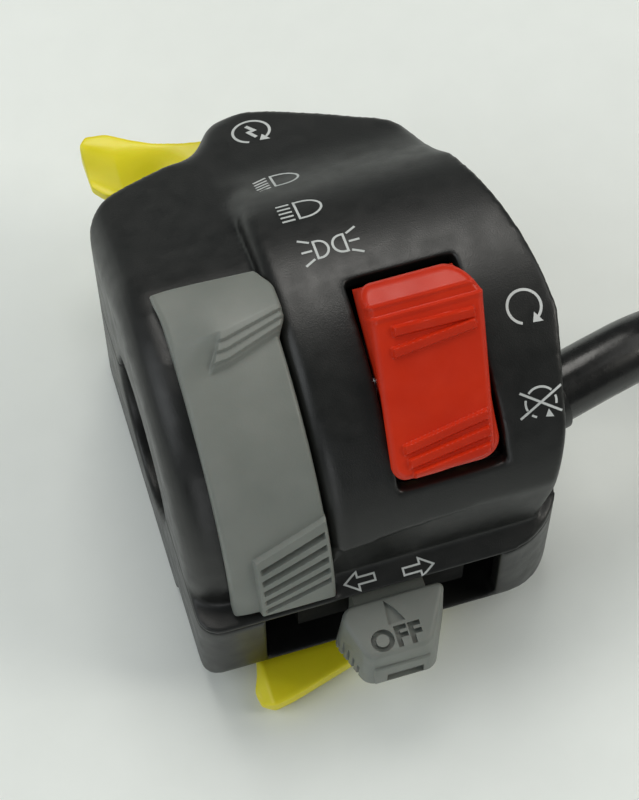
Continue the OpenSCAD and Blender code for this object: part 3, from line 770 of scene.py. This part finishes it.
def engrave_text(obj, word, size, x, y, depth):
    deselect()
    bpy.ops.object.text_add()
    text = bpy.context.object
    text.data.body = word
    text.data.align_x = "CENTER"
    text.data.size = size * MM
    text.data.space_character = letter_gap
    text.data.extrude = depth * MM
    text.data.offset = letter_bold * MM
    bpy.ops.object.convert(target="MESH")
    text = bpy.context.object
    origin = knob_face(x, y, 0)
    right = Vector((1, 0, 0))
    up = (knob_face(x, y + 1, 0) - origin).normalized()
    turn = Matrix((right, up, right.cross(up))).transposed().to_4x4()
    text.data.transform(Matrix.Translation(origin) @ turn)
    cut(obj, text)


def prism(name, corners, depth):
    """A cutter through the knob's face, drawn on the face."""
    count = len(corners)
    points = [knob_face(x, y, d) for d in (-1, depth) for x, y in corners]
    faces = [tuple(range(count)), tuple(range(2 * count - 1, count - 1, -1))]
    faces += [(i, i + count, (i + 1) % count + count, (i + 1) % count) for i in range(count)]
    return mesh_piece(name, points, faces)


def knob_key(point):
    return tuple(int(math.copysign(1, c)) for c in point)


def round_sharp(obj, radius, segments):
    modify(obj, "BEVEL", width=radius * MM, segments=segments, limit_method="ANGLE", angle_limit=sharp_edge)


def shape_knob(knob):
    """Moves the block's corners to the knob's own and rounds its edges."""
    weights = knob.data.attributes.new("bevel_weight_edge", "FLOAT", "EDGE")
    for edge in knob.data.edges:
        a, b = (knob_key(knob.data.vertices[i].co) for i in edge.vertices)
        weights.data[edge.index].value = knob_rounding[a[:2]] if a[:2] == b[:2] else 0
    for vertex in knob.data.vertices:
        vertex.co = Vector(knob_corners[knob_key(vertex.co)]) * MM
    modify(knob, "BEVEL", width=upright_r * MM, segments=6, limit_method="WEIGHT")
    round_sharp(knob, knob_edge_r, 5)


def add_plinth(knob):
    plinth = box("plinth", plinth_low, plinth_high)
    round_sharp(plinth, plinth_edge_r, 3)
    grow(knob, plinth)
    cut(knob, box("recess", recess_low, recess_high))


def cut_grip(knob):
    """Fine upright grooves on the left flank, each a little lower than the one behind it."""
    for i in range(grip_grooves):
        y = first_groove - groove_pitch * i
        low = (-9, y - groove_half, -12)
        high = (-7.1 + 0.367 * i, y + groove_half, -6 - 0.4 * i)
        cut(knob, box("groove", low, high))


def make_knob():
    knob = box("signal_knob_cap", (-1, -1, -1), (1, 1, 1))
    shape_knob(knob)
    grow(knob, box("neck", neck_low, neck_high))
    add_plinth(knob)
    cut_grip(knob)
    cut(knob, prism("pointer", pointer_corners, pointer_depth))
    engrave_text(knob, "OFF", size=3.7, x=-0.75, y=0.65, depth=0.8)
    pick(knob)
    bpy.ops.object.shade_smooth_by_angle(angle=knob_smooth)
    finish(knob, grey)
    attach(knob, "signal")
    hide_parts("signal_knob")


make_knob()


# Levers

lever_voxel = 0.24
start_low, start_top = 1.5, 8.5
thumb_fall = 2.6
under_rise = 2.8
horn_low, horn_top = -18.6, -16
tip_fall = 1.3


def stretch(z, old_low, old_top, low, top):
    """Carries a height from one span to another."""
    return low + (z - old_low) / (old_top - old_low) * (top - low)


def shape_start(p):
    """The paddle's thumb face slopes to the front, and its underside rises to the free end."""
    front = 31.3 + 0.1 * (-5 - p.x) + 0.9 * max(-17.4 - p.x, 0)
    back = 36.2 + 0.3 * max(-4 - p.x, 0)
    free = 1 - smoothstep(-13, -7, p.x)
    slope = 1 - smoothstep(-0.1, 0.9, (p.y - front) / (back - front))
    top = start_top - thumb_fall * free * slope
    low = start_low + under_rise * (1 - smoothstep(-20, -9, p.x))
    return Vector((p.x, p.y, stretch(p.z, start_low, start_top, low, top)))


def shape_horn(p):
    """The paddle's top falls away at its free end, on the left."""
    top = horn_top - tip_fall * (1 - smoothstep(-18.4, -16.6, p.x))
    return Vector((p.x, p.y, stretch(p.z, horn_low, horn_top, horn_low, top)))


def make_lever(node, name, body, shape, rounds):
    lever = node_copy(node, name)
    soften(lever, lever_voxel, rounds)
    for vertex in lever.data.vertices:
        vertex.co = shape(vertex.co / MM) * MM
    finish(lever, yellow)
    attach(lever, body)
    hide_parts(node)


make_lever("start_lever", "start_paddle", "starter", shape_start, 24)
make_lever("horn_lever", "horn_paddle", "horn", shape_horn, 18)


# Printed symbols: strokes in millimetres on a small flat field, laid on the housing

skin = BVHTree.FromObject(upper, bpy.context.evaluated_depsgraph_get())
ink_proud = 0.03
ink_deep = 0.12
stroke_w = 0.3
stroke_step = 0.3
ledge_z = 1
ledge_back, ledge_up = 0.93, 0.37


def on_panel(x, angle):
    return lambda u, v: around(x + u, panel_r, angle - math.degrees(v / panel_r))


def on_slope(x, back):
    away = turn_of(hump_angle - 90)
    return lambda u, v: (Vector((x + u, 0, 0)) + hump_lift * hump_out + (back + v) * away) * MM


def on_ledge(x, y):
    return lambda u, v: Vector((x + u, y + v * ledge_back, ledge_z + v * ledge_up)) * MM


ink_points, ink_faces = [], []


def lay(point):
    return skin.find_nearest(point)[:2]


def add_slab(corners):
    """A thin flat patch of ink between corners that go round it."""
    first = len(ink_points)
    count = len(corners)
    for lift in (ink_proud, -ink_deep):
        for corner in corners:
            place, normal = lay(corner)
            ink_points.append(place + lift * MM * normal)
    top = [first + i for i in range(count)]
    low = [first + count + i for i in range(count)]
    ink_faces.append(top)
    ink_faces.append(low[::-1])
    for i in range(count):
        j = (i + 1) % count
        ink_faces.append((top[j], top[i], low[i], low[j]))


def finer(points, closed):
    """Adds points so that a line follows a curved surface."""
    result = []
    for a, b in zip(points, points[1:] + points[:1]):
        pieces = max(math.ceil((b - a).length / stroke_step), 1)
        result += [a.lerp(b, i / pieces) for i in range(pieces)]
        if not closed and b is points[-1]:
            return result + [b]
    return result


def stroke_sides(flat, closed, width):
    """The way from each point of a line to the edge of its ink, longer at a corner."""
    count = len(flat)
    sides = []
    for i, p in enumerate(flat):
        ways = []
        if closed or i > 0:
            ways.append((p - flat[i - 1]).normalized())
        if closed or i < count - 1:
            ways.append((flat[(i + 1) % count] - p).normalized())
        way = sum(ways, Vector((0, 0))).normalized()
        mitre = 1 / max(way.dot(ways[0]), 0.5)
        sides.append(Vector((-way.y, way.x)) * width / 2 * mitre)
    return sides


def stroke(field, points, closed=False, width=stroke_w):
    """One line of ink: a band with mitred corners and even thickness."""
    flat = finer([Vector(p) for p in points], closed)
    count = len(flat)
    first = len(ink_points)
    for p, side in zip(flat, stroke_sides(flat, closed, width)):
        for lift in (ink_proud, -ink_deep):
            for edge in (p + side, p - side):
                place, normal = lay(field(edge.x, edge.y))
                ink_points.append(place + lift * MM * normal)
    for i in range(count if closed else count - 1):
        a, b = first + 4 * i, first + 4 * ((i + 1) % count)
        ink_faces.extend([(a, a + 1, b + 1, b), (a + 3, a + 2, b + 2, b + 3),
                          (a + 2, a, b, b + 2), (a + 1, a + 3, b + 3, b + 1)])
    if not closed:
        last = first + 4 * (count - 1)
        ink_faces.extend([(first, first + 2, first + 3, first + 1), (last, last + 1, last + 3, last + 2)])


def bow(radius, start, end, count):
    turn = [math.radians(start + (end - start) * i / count) for i in range(count + 1)]
    return [(radius * math.cos(a), radius * math.sin(a)) for a in turn]


def lamp_outline(flat_u, depth, half):
    """A lamp seen from the side: a flat lens and a round back."""
    back = [(flat_u + depth * (0.25 + 0.75 * math.cos(a)), half * math.sin(a))
            for a in (math.radians(90 - 12 * i) for i in range(16))]
    return [(flat_u, half)] + back + [(flat_u, -half)]


def draw_lamp(field, tilt, size):
    stroke(field, lamp_outline(-0.3 * size, 2.9 * size, 1.65 * size), closed=True)
    for i in range(5):
        v = (1.6 - 0.8 * i) * size
        stroke(field, [(-0.85 * size, v), (-2.4 * size, v - tilt)])


def draw_parking(field):
    for side in (-1, 1):
        stroke(field, [(side * -u, v) for u, v in lamp_outline(-1.9, 1.6, 1.35)], closed=True)
        for v, rise in ((1.35, 0.75), (0, 0), (-1.35, -0.75)):
            stroke(field, [(side * 2.35, v), (side * 3.7, v + rise)])


def arrow_head(field, u, v, way, size):
    a = math.radians(way)
    foot = Vector((u, v))
    tip = foot + size * Vector((math.cos(a), math.sin(a)))
    side = Vector((-math.sin(a), math.cos(a))) * size * 0.75
    add_slab([field(*corner) for corner in (tip, foot + side, foot - side)])


def draw_run(field):
    stroke(field, bow(2.1, -111, -412, 40), width=0.34)
    arrow_head(field, 1.4, -1.6, 212, 1.05)


def draw_stop(field):
    for start, end in ((133, 37), (13, -19), (200, 160), (244, 224)):
        stroke(field, bow(1.95, start, end, 12), width=0.28)
    arrow_head(field, 1.05, -1.65, 203, 0.85)
    stroke(field, [(-2.4, 1.75), (2.4, -1.75)])
    stroke(field, [(-2.9, -1.5), (2.9, 1.5)])


def draw_start(field):
    stroke(field, bow(2.45, -110, -413, 40), width=0.36)
    arrow_head(field, 1.55, -1.9, 208, 1.1)
    stroke(field, [(-0.4, 1.4), (0.4, 0.15), (-0.4, -0.1), (0.35, -1.5)], width=0.5)


def draw_arrow(field, way):
    shape = [(-2.05, 0), (-0.3, 1.2), (-0.3, 0.45), (1.9, 0.45), (1.9, -0.45), (-0.3, -0.45), (-0.3, -1.2)]
    stroke(field, [(-way * u, v) for u, v in shape], closed=True, width=0.25)


def make_symbols():
    draw_parking(on_panel(2.7, 80.1))
    draw_lamp(on_panel(0.9, 64.4), tilt=0, size=1.09)
    draw_lamp(on_slope(0.2, 9.9), tilt=0.8, size=1.15)
    draw_start(on_slope(0.3, 23.6))
    draw_run(on_panel(22.85, 109.2))
    draw_stop(on_panel(22.0, 133.1))
    draw_arrow(on_ledge(-3.3, -27.6), -1)
    draw_arrow(on_ledge(4.2, -28.1), 1)
    symbols = mesh_piece("symbols", ink_points, ink_faces)
    finish(symbols, ink)
    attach(symbols, "housing")


make_symbols()


# Every other node keeps its own shape and takes its slot's finish, and the signal carriage gets a darker,
# matt black: painted shade for the slot around it

def finish_nodes():
    for part in frame["record"]["subparts"]:
        finish(frame["nodes"][part["node"]], slot_finish[part["material_slot"]])
    # Painted shade: the carriage is darkened to the slot's shadow
    finish(frame["nodes"]["signal_carriage"], carriage_painted_shade)


finish_nodes()


# Floor and light, in metres and watts

floor_size = 3
room_way = Vector((0.2, 0.5, 0.84)).normalized()
room_from, room_to = 0.2, 0.95
room_dim, room_bright = 0.13, 0.15
room_seen = 0.8
room_colour = 0.9, 0.97, 1


def make_floor():
    deselect()
    bpy.ops.mesh.primitive_plane_add(size=floor_size, location=(0, 0, base_z * MM))
    floor = bpy.context.object
    floor.name = "floor"
    finish(floor, pale_paper)


def lamp(name, place, power, size, colour):
    data = bpy.data.lights.new(name, "AREA")
    data.energy = power
    data.size = size
    data.color = colour
    obj = bpy.data.objects.new(name, data)
    obj.location = place
    obj.rotation_euler = (-Vector(place)).to_track_quat("-Z", "Y").to_euler()
    bpy.context.collection.objects.link(obj)


def make_room():
    """A soft room, brightest above and behind the object, that the camera itself sees brighter."""
    world = bpy.data.worlds.new("room")
    bpy.context.scene.world = world
    world.use_nodes = True
    nodes, links = world.node_tree.nodes, world.node_tree.links
    place = nodes.new("ShaderNodeTexCoord")
    along = nodes.new("ShaderNodeVectorMath")
    along.operation = "DOT_PRODUCT"
    along.inputs[1].default_value = room_way
    links.new(place.outputs["Generated"], along.inputs[0])
    level = nodes.new("ShaderNodeMapRange")
    level.interpolation_type = "SMOOTHSTEP"
    level.inputs["From Min"].default_value = room_from
    level.inputs["From Max"].default_value = room_to
    level.inputs["To Min"].default_value = room_dim
    level.inputs["To Max"].default_value = room_bright
    links.new(along.outputs["Value"], level.inputs["Value"])
    sky = nodes["Background"]
    sky.inputs["Color"].default_value = (*room_colour, 1)
    seen = nodes.new("ShaderNodeMix")
    seen.inputs[3].default_value = room_seen
    links.new(nodes.new("ShaderNodeLightPath").outputs["Is Camera Ray"], seen.inputs[0])
    links.new(level.outputs["Result"], seen.inputs[2])
    links.new(seen.outputs[0], sky.inputs["Strength"])


make_floor()
lamp("window_right", (0.76, -0.33, 0.56), 2.0, 0.3, (1, 0.97, 0.88))
lamp("skylight", (0.05, 0.48, 0.86), 4.0, 0.5, (1, 0.98, 0.93))
lamp("ceiling_left", (-0.78, 0.0, 0.62), 3.4, 0.8, (0.94, 0.98, 1))
lamp("ceiling_right", (0.7, 0.05, 0.7), 1.8, 0.7, (1, 0.99, 0.95))
lamp("table_front", (-0.3, -0.9, 0.3), 1.2, 0.5, (0.97, 0.99, 1))
make_room()
bpy.context.scene.view_settings.view_transform = "Standard"
